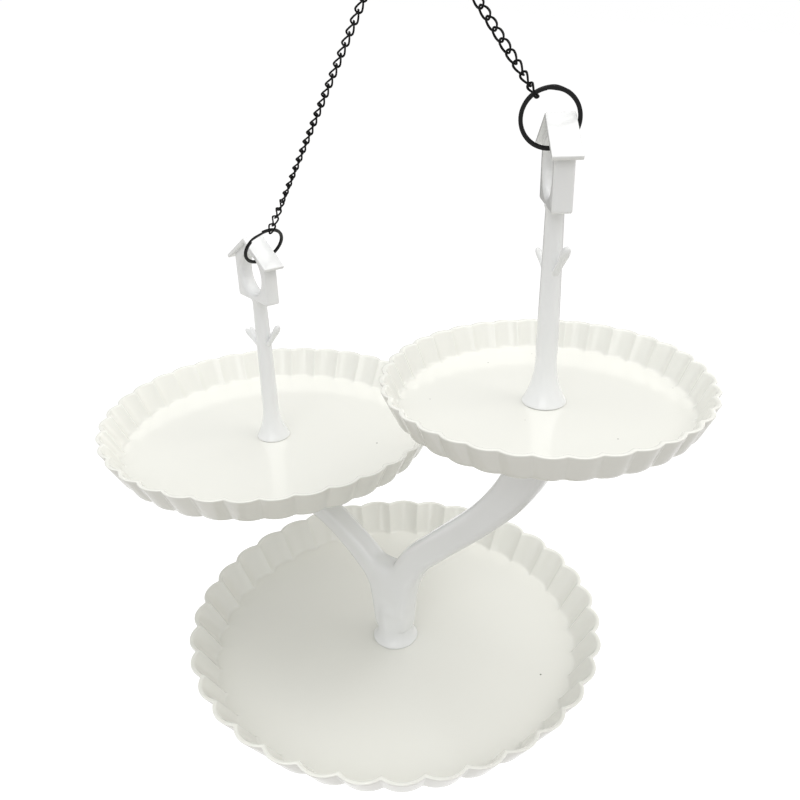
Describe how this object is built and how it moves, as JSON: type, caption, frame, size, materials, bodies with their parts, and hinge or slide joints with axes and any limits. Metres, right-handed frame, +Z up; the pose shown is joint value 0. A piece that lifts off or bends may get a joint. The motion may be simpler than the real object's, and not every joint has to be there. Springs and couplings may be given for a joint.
{
  "type": "hanging bird feeder",
  "caption": "Hanging bird feeder: three scalloped white trays on a forked branch with birdhouse-topped posts, hung by two black chains from a ring.",
  "frame": {"origin": "the inner top of the top ring, where the hook bears", "axes": "+Z up, as it hangs; +X level, from under the ring towards the side of the upper, smaller tray; +Y away from the front"},
  "size_m": [0.4311, 0.3006, 0.5072],
  "materials": {
    "tray_plastic": "glossy off-white",
    "stand_plastic": "glossy white",
    "ring_black": "gloss black coating",
    "chain_black": "gloss black coating",
    "screw_steel": "plain zinc-plated"
  },
  "bodies": {
    "ring": {"top_ring": "ring_black"},
    "hanger": {"left_ring": "ring_black", "right_ring": "ring_black", "left_link_01": "chain_black", "left_link_02": "chain_black", "left_link_03": "chain_black", "left_link_04": "chain_black", "left_link_05": "chain_black", "left_link_06": "chain_black", "left_link_07": "chain_black", "left_link_08": "chain_black", "left_link_09": "chain_black", "left_link_10": "chain_black", "left_link_11": "chain_black", "left_link_12": "chain_black", "left_link_13": "chain_black", "left_link_14": "chain_black", "left_link_15": "chain_black", "left_link_16": "chain_black", "left_link_17": "chain_black", "left_link_18": "chain_black", "left_link_19": "chain_black", "left_link_20": "chain_black", "left_link_21": "chain_black", "left_link_22": "chain_black", "left_link_23": "chain_black", "left_link_24": "chain_black", "left_link_25": "chain_black", "left_link_26": "chain_black", "left_link_27": "chain_black", "left_link_28": "chain_black", "left_link_29": "chain_black", "left_link_30": "chain_black", "left_link_31": "chain_black", "left_link_32": "chain_black", "right_link_01": "chain_black", "right_link_02": "chain_black", "right_link_03": "chain_black", "right_link_04": "chain_black", "right_link_05": "chain_black", "right_link_06": "chain_black", "right_link_07": "chain_black", "right_link_08": "chain_black", "right_link_09": "chain_black", "right_link_10": "chain_black", "right_link_11": "chain_black", "right_link_12": "chain_black", "right_link_13": "chain_black", "right_link_14": "chain_black", "right_link_15": "chain_black", "right_link_16": "chain_black", "right_link_17": "chain_black"},
    "stand": {"bottom_tray": "tray_plastic", "left_tray": "tray_plastic", "right_tray": "tray_plastic", "branch": "stand_plastic", "left_post": "stand_plastic", "right_post": "stand_plastic", "base_screw": "screw_steel"}
  },
  "joints": [
    {"name": "chain_swing", "type": "hinge", "parent": "ring", "child": "hanger", "pos_m": [-0.00003, -0.0005, -0.01284], "axis": [-0.0567, -0.9976, 0.0387], "range_deg": [-20, 20]},
    {"name": "stand_rock", "type": "hinge", "parent": "hanger", "child": "stand", "pos_m": [-0.00886, -0.00057, -0.17305], "axis": [0.8905, 0.0075, 0.455], "range_deg": [-3.5, 8]}
  ]
}
